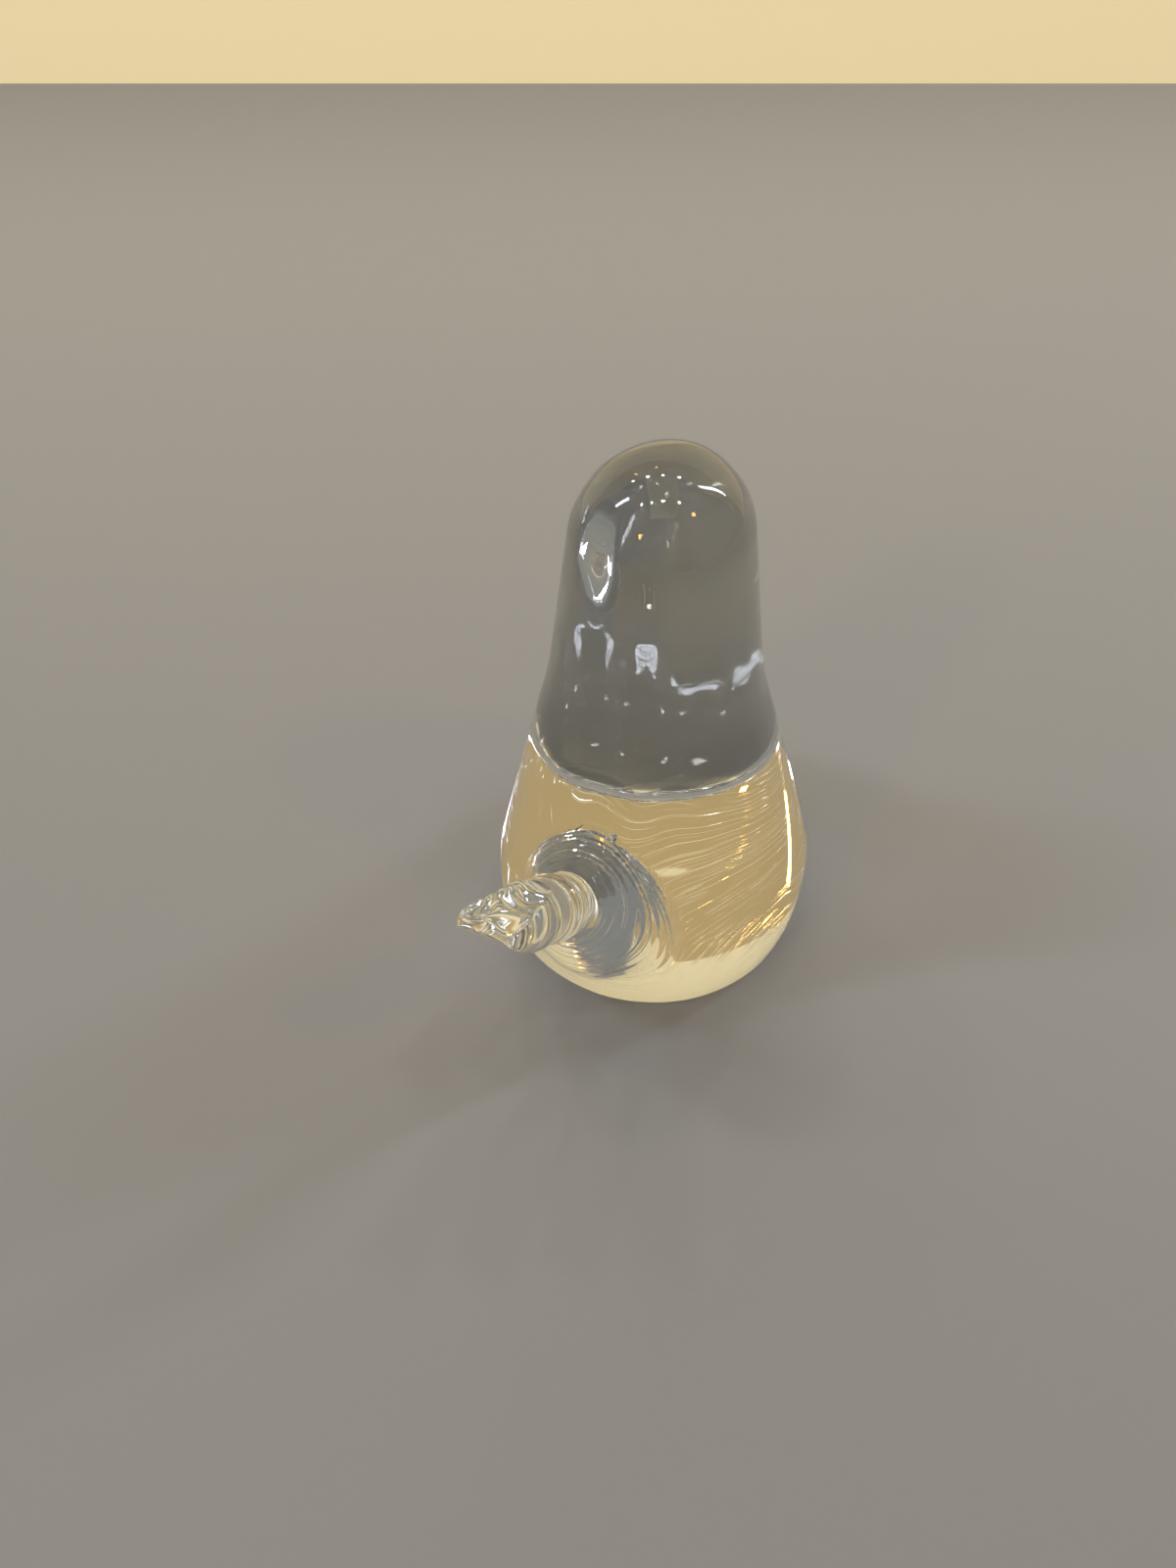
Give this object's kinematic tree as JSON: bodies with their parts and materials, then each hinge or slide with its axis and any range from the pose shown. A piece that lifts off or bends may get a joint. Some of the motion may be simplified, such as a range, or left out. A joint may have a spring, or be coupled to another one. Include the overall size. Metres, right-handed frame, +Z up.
{
  "type": "glass bird paperweight",
  "caption": "Solid clear glass bird paperweight: a rounded body on a ground flat, a thick upright round-ended tail and a raised beak that is pinched flat at its tip.",
  "frame": {"origin": "on the ground flat under the body, below the axis of the tail", "axes": "+Z up along the tail, away from the ground flat; the beak points to -Y; +X is the bird's left"},
  "size_m": [0.0509, 0.0892, 0.0814],
  "materials": {
    "clear_glass": "clear solid soda-lime glass, fire-polished all over, with a ground and polished flat underneath"
  },
  "bodies": {
    "root": {"body": "clear_glass", "tail": "clear_glass", "beak": "clear_glass"}
  },
  "joints": []
}
